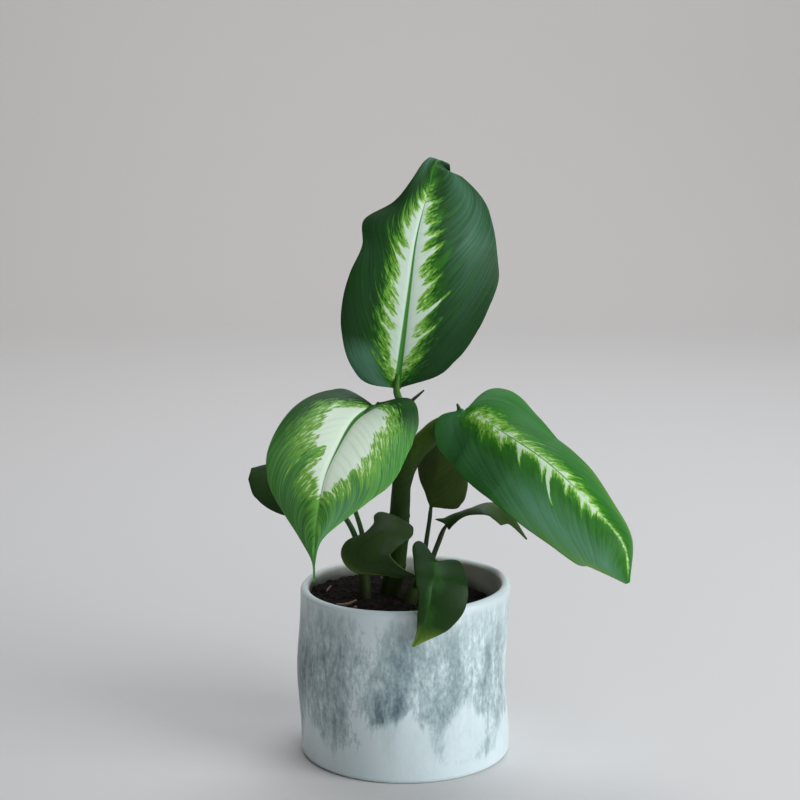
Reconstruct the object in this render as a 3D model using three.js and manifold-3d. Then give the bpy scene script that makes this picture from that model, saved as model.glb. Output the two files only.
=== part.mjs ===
// A dieffenbachia in a round glazed pot: pot, soil, one cane, two side shoots and nine leaves.
// Millimetres, +Z up, -Y towards the viewer, origin at the centre of the pot's flat bottom.
import * as THREE from 'three';
import Module from 'manifold-3d';

const wasm = await Module();
wasm.setup();

// Free space kept between two pieces that touch in the real plant.
const GAP = 0.3;

// The pot is thrown by hand: its rim climbs to the right and its belly leans to the left.
const POT = { radius: 60, height: 99.2, wall: 5, floor: 7, corner: 3, climb: 1.5, lean: 2.3, sides: 64 };

// Heights of the rows that the pot's wall and the soil's side share.
const WALL_ROWS = [18, 32, 46, 60, 74, 87];

// The soil lies lower at the pot's wall than at its middle, and lower on the right than on the left.
const SOIL = { edge: 87, middle: 91.5, slope: 0.1, lump: 0.9, rings: 8 };

// Leaf blades: thickness and the depth of the midrib under the blade, at base and tip.
const BLADE = { thickness: 0.8, rib: [1.6, 0.3], ribShare: 0.1, leastHalf: 0.5 };

// Stations along a midrib at which the half widths below are given.
const STATIONS = [0, 0.03, 0.1, 0.2, 0.3, 0.4, 0.5, 0.6, 0.7, 0.8, 0.9, 1];

// Rows along and columns across a blade.
const BIG_ROWS = [0, 0.015, 0.03, 0.05, 0.075, 0.1, 0.125, 0.16, 0.2, 0.25, 0.3, 0.35, 0.4, 0.45, 0.5, 0.55,
  0.6, 0.65, 0.7, 0.75, 0.8, 0.85, 0.9, 0.925, 0.95, 0.975, 1];
const BIG_COLUMNS = [-1, -0.8, -0.6, -0.4, -0.22, -0.1, 0, 0.1, 0.22, 0.4, 0.6, 0.8, 1];
const SMALL_ROWS = [0, 0.03, 0.06, 0.1, 0.15, 0.2, 0.3, 0.4, 0.5, 0.6, 0.7, 0.8, 0.9, 0.95, 1];
const SMALL_COLUMNS = [-1, -0.7, -0.4, -0.12, 0, 0.12, 0.4, 0.7, 1];

// Stems: centre line from below the soil upwards, and radii at even steps along it.
const MAIN_CANE = {
  path: [[-9.5, 0, 64], [-9, 0, 90], [-6, 0, 108], [-4, 0, 124], [-3, 0, 144], [-2.6, 0, 152]],
  radii: [6.4, 6.3, 6.1, 5.9, 5.7, 5.6], scars: [0.52, 0.68, 0.83],
};
const LEFT_SHOOT = {
  path: [[-24, -8, 64], [-23, -8, 90], [-23.5, -6, 104], [-24.5, -4, 114]], radii: [3.9, 3.8, 3.6, 3],
};
const RIGHT_SHOOT = {
  path: [[1, -14, 64], [2, -14, 88], [6, -12, 100], [12, -8, 108]], radii: [4.5, 4.4, 4, 3.2],
};

// Leaves. mid is the midrib from base to tip; side is the direction of the half with s > 0, at even steps.
// Pairs stand for the halves with s < 0 and s > 0: width in millimetres at the stations, lobe the share of
// the length a basal lobe reaches back, sweep the forward slant of the side veins, fold and curl the angles
// between the halves and across each half, in degrees, at even steps from base to tip. waves lift the margin:
// half, place, spread, height.
const TOP_LEAF = {
  mid: [[-5, -8, 213], [-2, -16, 237], [2, -23, 270], [6, -20, 299], [12, -8, 322], [16, 3, 336.5],
    [18.5, 8, 339.3], [21.5, 12.5, 335]],
  side: [[1, 0, 0], [1, 0.25, -0.1]],
  width: [[2, 13.5, 26.5, 34.5, 36, 34, 29, 30, 17, 11, 6.5, 1.5],
    [2, 17, 31, 41, 46, 49, 47.5, 45, 40.5, 32.5, 17, 1]],
  lobe: [0.08, 0.03], sweep: [0.1, 0.14], fold: [[10, 5], [10, 9, 8, 7, 6, 5, 5, 5, 5, 8, -60]],
  curl: [[-20, -40], [-20, -15]], waves: [[-1, 0.4, 0.1, 4], [-1, 0.84, 0.1, 3], [-1, 0.62, 0.1, -4]],
  petiole: { path: [[0, 4, 170], [-2, 7, 183], [-3, 5, 196], [-3.6, -2.5, 206], [-5, -8.8, 213],
    [-4, -11.5, 222]],
    radii: [3.4, 3, 2.4, 1.9, 1.7, 0.9] },
};
const LEFT_LEAF = {
  mid: [[-17, -20, 206], [-28, -38, 201], [-37, -57, 189], [-43, -72, 177], [-46, -82, 162],
    [-48, -86, 144], [-48.5, -86, 124]],
  side: [[-0.85, 0.3, 0.3], [-0.95, 0.3, 0.1], [-0.95, 0.1, -0.1]],
  width: [[2, 12, 24, 35, 37, 37, 33.5, 25, 13.5, 3.8, 0.8, 0.5],
    [2, 16, 28, 36, 39, 38.5, 34.5, 27.5, 19.5, 9.5, 1.6, 0.5]],
  lobe: [0.22, 0.12], sweep: [0.08, 0.08], fold: [[20, 0], [15, 5]], curl: [[-35, -35], [-35, -35]],
  waves: [[-1, 0.03, 0.035, 5.5]],
  petiole: { path: [[1, 0, 166], [-3, -1, 178], [-7, -6, 190], [-12, -13, 199], [-17, -20.5, 205],
    [-22, -29, 203.5]],
    radii: [5, 4.6, 3.6, 2.8, 2.2, 0.9] },
  spike: { path: [[-7, -6, 191], [1, -5, 203], [10.5, -4, 211.7]], radii: [1.6, 1.4, 0.5] },
};
const RIGHT_LEAF = {
  mid: [[33, -13, 202], [42, -18.5, 199.3], [52, -25, 193.5], [78, -45, 179], [104, -58, 155],
    [118, -62, 137], [121, -60, 116]],
  side: [[-0.3, -0.4, -0.85], [-0.55, -0.6, -0.5], [-0.6, -0.6, -0.5], [-0.8, -0.5, -0.4]],
  width: [[2, 13, 26, 25.5, 23.5, 24.5, 24.5, 21.5, 17.5, 13.5, 9, 1.5],
    [1.5, 8, 26, 33, 36, 37, 36, 33.5, 30.5, 27, 20.5, 2]],
  lobe: [0.06, 0.19], sweep: [0.08, 0.08], fold: [[-10, -15], [-5, -5]], curl: [[-20, -30], [-20, -20]],
  waves: [[1, 0.03, 0.14, 3.5]],
  petiole: { path: [[-2.6, 0, 151], [-1.7, 0, 159], [0.2, 0, 166], [5, 0, 175.3], [12.7, 0, 184],
    [19, -1, 190.5], [25, -3, 194], [29.5, -7, 197], [33.5, -12, 199], [41, -17.5, 197.8]],
    radii: [5.6, 5.7, 6, 6.4, 6.6, 6, 4.4, 3, 2.2, 0.9] },
  spike: { path: [[28.5, -6, 196], [30, -6.5, 201], [29, -7, 204.5]], radii: [2, 1.4, 0.6] },
};
const BEHIND_LEFT_LEAF = {
  mid: [[-48, 30, 139], [-64, 34, 147.5], [-79, 36, 153.5], [-90, 35, 157]],
  side: [[0, 0.5, 0.8], [0, 0.5, 0.8]],
  width: [[1, 8, 14, 17, 18.5, 19, 19, 18.5, 17.5, 16, 13.5, 6],
    [1, 6, 11, 14, 15, 14.5, 14, 12.5, 10, 7, 4, 1]],
  petiole: { path: [[-24.5, -4, 112], [-28, 2, 124], [-34, 12, 133.2], [-41, 22, 137], [-48, 29.5, 138.2],
    [-53, 31, 142.3]],
    radii: [2, 1.8, 1.6, 1.5, 1.3, 0.7] },
};
const BEHIND_CENTRE_LEAF = {
  mid: [[15, 25, 137], [18, 31, 155], [22, 30, 174], [26, 22, 189]],
  side: [[1, -0.4, 0], [1, -0.4, 0]],
  width: [[1, 3, 6, 11, 14, 15, 15, 14, 12, 9, 5, 1], [1, 11, 17.5, 19.5, 19, 18, 17, 15, 12, 8, 4, 1]],
  lobe: [0, 0.08],
  petiole: { path: [[11, -7, 106], [11, 4, 112], [12, 11, 119], [14, 20, 130], [15, 25.8, 137],
    [15.9, 28.5, 142.5]],
    radii: [1.8, 1.6, 1.4, 1.3, 1.2, 0.7] },
};
const BEHIND_RIGHT_LEAF = {
  mid: [[23.5, 20, 127.5], [32, 22, 133.5], [46, 28, 137], [60, 34, 131.5], [71.5, 36, 115]],
  side: [[0.2, -1, 0.15], [0.1, -1, 0.1], [0, -1, -0.4], [0, -1, -0.3]],
  width: [[1, 6, 6, 6, 8, 9, 9, 8.5, 7, 5, 3, 1], [1, 3.5, 3.5, 4, 10, 14, 14, 11, 8, 6, 3.5, 1]],
  lobe: [0.15, 0.1], fold: [[85, 40, 12, 0, -5, -5, -5, -5, -5, -5, -5], [-40, -10, -5, -5]],
  petiole: { path: [[13.5, -7, 106], [15.5, 5, 111], [19, 14, 118.2], [23.3, 19.9, 126.5],
    [26.9, 20.7, 129.2]],
    radii: [1.8, 1.6, 1.5, 1.5, 0.7] },
};
const LOW_LEFT_LEAF = {
  mid: [[-5, -16, 142], [-12, -28, 135], [-14, -36, 124], [-6, -39, 117], [6, -40, 113.6]],
  side: [[-1, 0.2, 0.2], [-1, 0, -0.1], [-0.4, 0.3, -0.8]],
  width: [[1, 8, 13, 14, 12, 9, 7, 5.5, 4.5, 3.5, 2, 1], [1, 8, 13, 10, 12, 21, 22, 11, 6, 4, 2.5, 1]],
  lobe: [0.08, 0.1], sweep: [0.05, 0.05],
  petiole: { path: [[-7, -1, 100], [-10.5, -8.5, 110], [-11, -11, 122], [-8, -13, 134], [-5.6, -16.4, 141],
    [-8, -21, 138.6]],
    radii: [2.2, 2, 1.7, 1.4, 1.2, 0.7] },
};
const LOW_FRONT_LEAF = {
  mid: [[17, -50, 125.5], [15, -62, 118], [13, -68, 107], [9, -69, 94], [4, -66, 82]],
  side: [[-1, 0, 0], [-1, 0, 0]],
  width: [[1, 8, 14.5, 18.5, 20.5, 20.5, 19.5, 17.5, 15, 11, 6, 1],
    [1, 7, 14, 12.5, 10, 7.5, 6, 5, 3.5, 2, 1.2, 0.8]],
  lobe: [0.2, 0.32], fold: [[-5, -5], [25, 15]],
  petiole: { path: [[5.5, -13, 99], [9, -24, 112], [13, -37, 121], [17, -49.4, 124.7], [16, -56, 121]],
    radii: [2, 1.7, 1.4, 1.3, 0.7] },
};
const HIDDEN_LEFT_LEAF = {
  mid: [[-34, 12, 156], [-38, 15, 170], [-43, 18, 183], [-48, 20, 194]],
  side: [[0.9, 0.2, 0.2], [0.9, 0.2, 0.2]],
  width: [[1, 6, 10, 13, 14, 13.5, 12, 10.5, 8.5, 6, 3, 1],
    [1, 6, 10, 13, 14, 13.5, 12, 10.5, 8.5, 6, 3, 1]],
  petiole: { path: [[-24.5, -4, 112], [-24.6, 0, 127], [-28.7, 6, 140], [-32, 10.5, 150], [-34, 12.8, 156],
    [-35.4, 14.4, 160.5]],
    radii: [1.8, 1.6, 1.4, 1.3, 1.2, 0.7] },
};

const clamp01 = (x) => Math.min(Math.max(x, 0), 1);

const vector = (list) => new THREE.Vector3(...list);

const spline = (points) => new THREE.CatmullRomCurve3(points.map(vector));

// Linear reading of a list of numbers spread evenly over 0..1.
function evenly(values, t) {
  const x = clamp01(t) * (values.length - 1);
  const i = Math.min(Math.floor(x), values.length - 2);
  return values[i] + (values[i + 1] - values[i]) * (x - i);
}

// Slope of the width list at station i: weighted from both neighbours.
function slope(values, i) {
  const last = STATIONS.length - 1;
  if (i === 0) return (values[1] - values[0]) / (STATIONS[1] - STATIONS[0]);
  if (i === last) return (values[last] - values[last - 1]) / (STATIONS[last] - STATIONS[last - 1]);
  const before = STATIONS[i] - STATIONS[i - 1];
  const after = STATIONS[i + 1] - STATIONS[i];
  const left = (values[i] - values[i - 1]) / before;
  const right = (values[i + 1] - values[i]) / after;
  return (left * after + right * before) / (before + after);
}

// Cubic through the half widths given at the stations.
function widthAt(values, t) {
  let i = 0;
  while (i < STATIONS.length - 2 && t >= STATIONS[i + 1]) i += 1;
  const h = STATIONS[i + 1] - STATIONS[i];
  const x = (t - STATIONS[i]) / h;
  const rest = 1 - x;
  const width = values[i] * (1 + 2 * x) * rest ** 2 + values[i + 1] * x ** 2 * (3 - 2 * x)
    + h * slope(values, i) * x * rest ** 2 - h * slope(values, i + 1) * x ** 2 * rest;
  return Math.max(width, BLADE.leastHalf);
}

// Point of the blade's middle surface at t along the midrib and s across it, -1 to 1.
function bladePoint(leaf, t, s) {
  const half = s > 0 ? 1 : 0;
  const a = Math.abs(s);
  const width = widthAt(leaf.width[half], t);
  const back = leaf.lobe[half] * (t / 0.08) * Math.exp(1 - t / 0.08) * a ** 1.6;
  const ahead = leaf.sweep[half] * 2 * Math.sqrt(t * (1 - t)) * a ** 1.5 * (1 - t);
  const u = t - back + ahead;
  const on = clamp01(u);
  const tangent = leaf.curve.getTangentAt(on);
  const point = leaf.curve.getPointAt(on).addScaledVector(tangent, (u - on) * leaf.length);
  const across = new THREE.Vector3(...[0, 1, 2].map((k) => evenly(leaf.side.map((v) => v[k]), on)));
  across.addScaledVector(tangent, -across.dot(tangent)).normalize();
  const up = new THREE.Vector3().crossVectors(across, tangent);
  const fold = THREE.MathUtils.degToRad(evenly(leaf.fold[half], t));
  const bend = THREE.MathUtils.degToRad(evenly(leaf.curl[half], t)) / width;
  const out = (Math.sin(fold + bend * a * width) - Math.sin(fold)) / bend;
  const rise = (Math.cos(fold) - Math.cos(fold + bend * a * width)) / bend;
  const lift = leaf.waves.reduce((sum, [side, place, spread, height]) => (
    side * s > 0 ? sum + height * Math.exp(-(((t - place) / spread) ** 2)) : sum), 0);
  return point.addScaledVector(across, Math.sign(s) * out).addScaledVector(up, rise + a ** 2 * lift);
}

// Upper-side normal of the blade from neighbouring points.
function bladeNormal(leaf, t, s) {
  const e = 0.01;
  const along = bladePoint(leaf, Math.min(t + e, 1), s).sub(bladePoint(leaf, Math.max(t - e, 0), s));
  const across = bladePoint(leaf, t, Math.min(s + e, 1)).sub(bladePoint(leaf, t, Math.max(s - e, -1)));
  return across.cross(along).normalize();
}

// Closed solid from a list of points and a list of triangles.
function solid(points, triangles) {
  const vertProperties = new Float32Array(points.flatMap((p) => [p.x, p.y, p.z]));
  const triVerts = new Uint32Array(triangles.flat());
  return new wasm.Manifold(new wasm.Mesh({ numProp: 3, vertProperties, triVerts }));
}

// A blade: upper and lower face with the same triangles, closed by a narrow edge all round.
function blade(leaf, rows, columns) {
  const points = [];
  for (const face of [1, -1]) {
    for (const t of rows) {
      const rib = evenly(BLADE.rib, t);
      for (const s of columns) {
        const keel = face < 0 ? rib * Math.max(0, 1 - Math.abs(s) / BLADE.ribShare) : 0;
        points.push(bladePoint(leaf, t, s)
          .addScaledVector(bladeNormal(leaf, t, s), face * (BLADE.thickness / 2 + keel)));
      }
    }
  }
  const wide = columns.length;
  const lower = rows.length * wide;
  const triangles = [];
  for (let i = 0; i < rows.length - 1; i += 1) {
    for (let j = 0; j < wide - 1; j += 1) {
      const a = i * wide + j;
      const b = a + 1;
      const c = a + wide + 1;
      const d = a + wide;
      triangles.push([a, b, c], [a, c, d]);
      triangles.push([lower + a, lower + c, lower + b], [lower + a, lower + d, lower + c]);
    }
  }
  const loop = [];
  for (let j = 0; j < wide; j += 1) loop.push(j);
  for (let i = 1; i < rows.length; i += 1) loop.push(i * wide + wide - 1);
  for (let j = wide - 2; j >= 0; j -= 1) loop.push((rows.length - 1) * wide + j);
  for (let i = rows.length - 2; i > 0; i -= 1) loop.push(i * wide);
  loop.forEach((p, n) => {
    const q = loop[(n + 1) % loop.length];
    triangles.push([q, p, lower + p], [q, lower + p, lower + q]);
  });
  return solid(points, triangles);
}

// A round stem along its centre line; grow makes the room another piece has to leave free.
function stem({ path, radii, scars = [] }, grow = 0, sides = 12) {
  const curve = spline(path);
  const rings = Math.max(2 * (path.length - 1), 6) * (scars.length ? 2 : 1);
  const first = curve.getTangentAt(0);
  const last = curve.getTangentAt(1);
  const start = curve.getPointAt(0).addScaledVector(first, -grow);
  const end = curve.getPointAt(1).addScaledVector(last, grow);
  const points = [start, end];
  const triangles = [];
  const side = new THREE.Vector3(1, 0, 0);
  for (let i = 0; i <= rings; i += 1) {
    const t = i / rings;
    const tangent = curve.getTangentAt(t);
    const centre = i === 0 ? start : i === rings ? end : curve.getPointAt(t);
    side.addScaledVector(tangent, -side.dot(tangent)).normalize();
    const other = new THREE.Vector3().crossVectors(tangent, side);
    const ring = scars.reduce((sum, place) => sum + 0.35 * Math.exp(-(((t - place) / 0.02) ** 2)), 0);
    const radius = evenly(radii, t) + ring + grow;
    for (let j = 0; j < sides; j += 1) {
      const turn = (2 * Math.PI * j) / sides;
      points.push(centre.clone().addScaledVector(side, radius * Math.cos(turn))
        .addScaledVector(other, radius * Math.sin(turn)));
    }
  }
  for (let j = 0; j < sides; j += 1) {
    const k = (j + 1) % sides;
    const top = 2 + rings * sides;
    triangles.push([0, 2 + k, 2 + j], [1, top + j, top + k]);
    for (let i = 0; i < rings; i += 1) {
      const low = 2 + i * sides;
      const high = low + sides;
      triangles.push([low + j, low + k, high + k], [low + j, high + k, high + j]);
    }
  }
  return solid(points, triangles);
}

// A turned solid: profile of [radius, height] from the axis round to the axis, outside first.
function turned(profile, sides, shape = (p) => p) {
  const points = [vector([0, 0, profile[0][1]]), vector([0, 0, profile[profile.length - 1][1]])];
  const triangles = [];
  const inner = profile.slice(1, -1);
  for (const [radius, height] of inner) {
    for (let j = 0; j < sides; j += 1) {
      const turn = (2 * Math.PI * j) / sides;
      points.push(vector([radius * Math.cos(turn), radius * Math.sin(turn), height]));
    }
  }
  for (let j = 0; j < sides; j += 1) {
    const k = (j + 1) % sides;
    const top = 2 + (inner.length - 1) * sides;
    triangles.push([0, 2 + k, 2 + j], [1, top + j, top + k]);
    for (let i = 0; i < inner.length - 1; i += 1) {
      const low = 2 + i * sides;
      const high = low + sides;
      triangles.push([low + j, low + k, high + k], [low + j, high + k, high + j]);
    }
  }
  return solid(points.map(shape), triangles);
}

// Points of a quarter or half circle in a profile, angles in degrees.
function arc(radius, height, r, from, to, steps) {
  return Array.from({ length: steps + 1 }, (_, i) => {
    const angle = THREE.MathUtils.degToRad(from + ((to - from) * i) / steps);
    return [radius + r * Math.cos(angle), height + r * Math.sin(angle)];
  });
}

// The uneven shape of the pot, given to the soil too so that it keeps its distance from the wall.
function thrown(p) {
  const share = p.z / POT.height;
  return new THREE.Vector3(
    p.x - POT.lean * Math.sin(Math.PI * clamp01(share)) ** 3, p.y,
    p.z + POT.climb * (p.x / POT.radius) * share ** 2);
}

function makePot() {
  const { radius, height, wall, floor, corner, sides } = POT;
  const rim = wall / 2;
  const profile = [
    [0, 0],
    ...arc(radius - corner, corner, corner, -90, 0, 3),
    ...WALL_ROWS.map((z) => [radius, z]),
    ...arc(radius - rim, height - rim, rim, 0, 180, 6),
    ...[...WALL_ROWS].reverse().map((z) => [radius - wall, z]),
    ...arc(radius - wall - corner, floor + corner, corner, 0, -90, 2),
    [0, floor],
  ];
  return turned(profile, sides, thrown);
}

// Height of the soil's surface: a low, tilted mound with lumps.
function soilTop(x, y) {
  const share = Math.hypot(x, y) / (POT.radius - POT.wall);
  const mound = SOIL.edge + (SOIL.middle - SOIL.edge) * (1 - share ** 2);
  const lumps = Math.sin(0.31 * x + 1.3) * Math.cos(0.27 * y - 0.4) + 0.7 * Math.sin(0.55 * y + 0.21 * x)
    + 0.5 * Math.cos(0.63 * x - 0.48 * y + 2);
  return mound - SOIL.slope * x + SOIL.lump * lumps * (1 - 0.5 * share ** 4);
}

function makeSoil() {
  const outer = POT.radius - POT.wall - GAP;
  const bottom = POT.floor + GAP;
  const rings = Array.from({ length: SOIL.rings }, (_, i) => [outer * (1 - i / SOIL.rings), SOIL.edge]);
  const profile = [
    [0, bottom],
    ...arc(outer - POT.corner, bottom + POT.corner, POT.corner, -90, 0, 2),
    ...WALL_ROWS.slice(0, -1).map((z) => [outer, z]),
    ...rings,
    [0, SOIL.edge],
  ];
  return turned(profile, POT.sides, (p) => (
    thrown(p.z < SOIL.edge ? p : new THREE.Vector3(p.x, p.y, soilTop(p.x, p.y)))));
}

// The largest body left after a cut.
function largest(piece) {
  return piece.decompose().sort((a, b) => b.volume() - a.volume())[0];
}

// A whole leaf: blade, petiole and, where one shows, the free tip of its sheath, cut clear of the others.
function makeLeaf(design, big, others) {
  const curve = spline(design.mid);
  const leaf = {
    lobe: [0.06, 0.06], sweep: [0.1, 0.1], fold: [[-5, -5], [-5, -5]], curl: [[-20, -20], [-20, -20]],
    waves: [], ...design, curve, length: curve.getLength(),
  };
  let piece = blade(leaf, big ? BIG_ROWS : SMALL_ROWS, big ? BIG_COLUMNS : SMALL_COLUMNS);
  piece = piece.add(stem(leaf.petiole, 0, big ? 10 : 7));
  if (leaf.spike) piece = piece.add(stem(leaf.spike, 0, 6));
  others.forEach((other) => {
    piece = piece.subtract(other);
  });
  return largest(piece);
}

const group = new THREE.Group();
group.name = 'potted_dieffenbachia';

function put(name, piece, color, roughness) {
  const made = piece.getMesh();
  const geometry = new THREE.BufferGeometry();
  geometry.setAttribute('position', new THREE.BufferAttribute(new Float32Array(made.vertProperties), 3));
  geometry.setIndex(new THREE.BufferAttribute(new Uint32Array(made.triVerts), 1));
  geometry.computeVertexNormals();
  const material = new THREE.MeshStandardMaterial({ color, roughness, metalness: 0 });
  const mesh = new THREE.Mesh(geometry, material);
  mesh.name = name;
  group.add(mesh);
}

// Rooms that neighbouring pieces leave free.
const caneRoom = stem(MAIN_CANE, GAP);
const leftRoom = stem(LEFT_SHOOT, GAP);
const rightRoom = stem(RIGHT_SHOOT, GAP);
const rightLeafRoom = stem(RIGHT_LEAF.petiole, GAP, 10);
const leftLeafRoom = stem(LEFT_LEAF.petiole, GAP, 10);
const behindLeftRoom = stem(BEHIND_LEFT_LEAF.petiole, GAP, 7);
const behindCentreRoom = stem(BEHIND_CENTRE_LEAF.petiole, GAP, 7);

put('pot', makePot(), 0xc4cdcf, 0.35);
const plantedSoil = [caneRoom, leftRoom, rightRoom].reduce((soil, room) => soil.subtract(room), makeSoil());
put('soil', plantedSoil, 0x2a211c, 0.95);
put('main_cane', stem(MAIN_CANE), 0x55603c, 0.6);
put('left_shoot', stem(LEFT_SHOOT), 0x7d8a55, 0.6);
put('right_shoot', stem(RIGHT_SHOOT), 0x5a5f3c, 0.6);
put('right_leaf', makeLeaf(RIGHT_LEAF, true, [caneRoom]), 0x2f6a2f, 0.4);
put('left_leaf', makeLeaf(LEFT_LEAF, true, [caneRoom, rightLeafRoom]), 0x6fa04a, 0.4);
put('top_leaf', makeLeaf(TOP_LEAF, true, [caneRoom, rightLeafRoom, leftLeafRoom]), 0x2c5f28, 0.4);
put('behind_left_leaf', makeLeaf(BEHIND_LEFT_LEAF, false, [leftRoom]), 0x24451f, 0.45);
put('hidden_left_leaf', makeLeaf(HIDDEN_LEFT_LEAF, false, [leftRoom, behindLeftRoom]), 0x24451f, 0.45);
put('behind_centre_leaf', makeLeaf(BEHIND_CENTRE_LEAF, false, [rightRoom]), 0x2a4a20, 0.45);
put('behind_right_leaf', makeLeaf(BEHIND_RIGHT_LEAF, false, [rightRoom, behindCentreRoom]), 0x2a4a20, 0.45);
put('low_left_leaf', makeLeaf(LOW_LEFT_LEAF, false, [caneRoom]), 0x2c5426, 0.45);
put('low_front_leaf', makeLeaf(LOW_FRONT_LEAF, false, [rightRoom]), 0x2f5e29, 0.45);

export default group;
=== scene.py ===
# %% [markdown]
# # A potted dieffenbachia
# A young dieffenbachia stands in a thrown, glazed pot. The imported model holds its pieces at real size,
# and this file gives each of them a finer surface and a finish. It starts by loading that model, which
# is also the ruler for everything below.

# %% Load the imported model
from functools import partial
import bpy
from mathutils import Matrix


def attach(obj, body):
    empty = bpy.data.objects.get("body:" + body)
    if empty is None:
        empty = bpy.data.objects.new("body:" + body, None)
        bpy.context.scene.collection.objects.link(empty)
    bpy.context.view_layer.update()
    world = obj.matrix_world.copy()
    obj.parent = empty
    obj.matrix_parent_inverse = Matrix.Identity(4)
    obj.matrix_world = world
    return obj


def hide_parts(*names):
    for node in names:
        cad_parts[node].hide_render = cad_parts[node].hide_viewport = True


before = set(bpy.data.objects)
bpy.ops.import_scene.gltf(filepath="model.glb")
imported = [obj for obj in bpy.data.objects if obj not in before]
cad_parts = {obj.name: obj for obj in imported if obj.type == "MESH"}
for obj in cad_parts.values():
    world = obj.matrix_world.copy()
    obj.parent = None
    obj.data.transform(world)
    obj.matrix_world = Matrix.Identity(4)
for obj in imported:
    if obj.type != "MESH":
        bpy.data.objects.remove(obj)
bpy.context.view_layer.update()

from types import SimpleNamespace

import bpy
import numpy as np
from mathutils import Vector

MM = 0.001
print("loaded", len(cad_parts), "nodes")

# %% [markdown]
# The camera looks slightly down on the plant from a bit more than a metre away, with a long lens, so
# that the pot's rim shows as a flat ellipse and the near leaves don't swell.

# %% Set the camera
CAMERA_PLACE = (-3, -1150, 433)
CAMERA_PITCH = np.radians(90 - 11.2)
CAMERA_LENS, CAMERA_SENSOR = 93.8, 36


def show(name, data):
    """A new object of the scene that shows a mesh, a lamp or a camera."""
    made = bpy.data.objects.new(name, data)
    bpy.context.scene.collection.objects.link(made)
    return made


lens = bpy.data.cameras.new("camera")
lens.lens = CAMERA_LENS
lens.sensor_width = CAMERA_SENSOR
lens.clip_start = 0.05
camera = show("camera", lens)
camera.location = Vector(CAMERA_PLACE) * MM
camera.rotation_euler = (CAMERA_PITCH, 0, 0)
bpy.context.scene.camera = camera
print("camera at", tuple(round(x, 3) for x in camera.location))

# %% [markdown]
# Every finish below is a small network of nodes. One function adds a node, sets it up and links it, and
# one function turns the colours, which are written as sRGB hex values, into the linear numbers that
# the shader wants.


# %% Add nodes and colours
SMOOTH = {"interpolation_type": "SMOOTHSTEP"}


def linear(hex_value):
    """sRGB hex to linear RGBA: a channel c becomes ((c + 0.055) / 1.055) ^ 2.4, or c / 12.92 near black."""
    c = np.array([hex_value >> 16 & 255, hex_value >> 8 & 255, hex_value & 255]) / 255
    c = np.where(c > 0.04045, ((c + 0.055) / 1.055) ** 2.4, c / 12.92)
    return (*c.tolist(), 1.0)


def add_node(tree, kind, *inputs, out=0, stops=None, **named):
    """Adds a node of a kind, such as "Math.ADD" with its operation. Inputs, by place or by a name with a
    capital, are other nodes' outputs, numbers or hex colours; other names are settings of the node.
    Returns the output numbered out, or all of them where out is None."""
    kind, _, operation = kind.partition(".")
    made = tree.nodes.new("ShaderNode" + kind)
    if operation:
        made.operation = operation
    sockets = [*enumerate(inputs)]
    for name, value in named.items():
        if name[0].isupper():
            sockets.append((name.replace("_", " "), value))
        else:
            setattr(made, name, value)
    if stops:
        ramp = made.color_ramp
        while len(ramp.elements) < len(stops):
            ramp.elements.new(1.0)
        for element, (place, value) in zip(ramp.elements, stops):
            element.position = place
            element.color = linear(value) if isinstance(value, int) else (value, value, value, 1)
    for key, value in sockets:
        socket = made.inputs[key]
        if isinstance(value, bpy.types.NodeSocket):
            tree.links.new(value, socket)
        elif value is not None:
            socket.default_value = linear(value) if socket.type == "RGBA" else value
    return made.outputs if out is None else made.outputs[out]


def material(name):
    """A new material with an empty tree: returns it and the function that adds a node to its tree."""
    made = bpy.data.materials.new(name)
    made.use_nodes = True
    made.node_tree.nodes.clear()
    return made, partial(add_node, made.node_tree)


def shade(add, colour, roughness, specular, grain=None, strength=0, depth=0):
    """Ends a finish with its shader. Colour and roughness are fixed or a node's output, and grain is the
    output that gives a bump of this strength and this depth in mm."""
    bump = add("Bump", Height=grain, Strength=strength, Distance=depth * MM) if grain else None
    shader = add("BsdfPrincipled", Base_Color=colour, Roughness=roughness, Specular_IOR_Level=specular,
                 Normal=bump)
    add("OutputMaterial", shader, out=None)


print("white is", linear(0xFFFFFF))

# %% [markdown]
# The floor is a plain pale sheet that sweeps up behind the plant, as paper does in a studio, so no edge
# shows. A big window-like lamp stands to the right and in front, a weaker one hangs high in front, a very
# weak one stands to the left, one high behind gives the leaves their sheen, and one only lights the
# paper's far end.

# %% Lay the floor and hang the lamps
FLOOR_COLOUR, FLOOR_ROUGHNESS, FLOOR_SPECULAR = 0xDEDBD8, 0.85, 0.5
FLOOR_WIDTH, FLOOR_FRONT, SWEEP_START, SWEEP_RADIUS, WALL_HEIGHT = 5000, -2500, 1500, 700, 2400
# Each lamp: place and aim in millimetres, side length in millimetres, power in watts, colour.
LAMPS = {
    "window": ((1280, -700, 520), (0, 0, 150), 900, 17, 0xF6FBFF),
    "softbox": ((350, -900, 1250), (0, 0, 200), 700, 4, 0xE8F2FF),
    "fill": ((-1300, -900, 700), (0, 0, 150), 1200, 0.2, 0xFFF1E6),
    "sky": ((350, 800, 1300), (0, 0, 220), 900, 5, 0xDCEBFF),
    "paper": ((0, 700, 2300), (0, 2000, 500), 1500, 24, 0xFFFFFF),
}
ROOM_LIGHT, ROOM_COLOUR = 0.12, 0xE6E4E6

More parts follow.
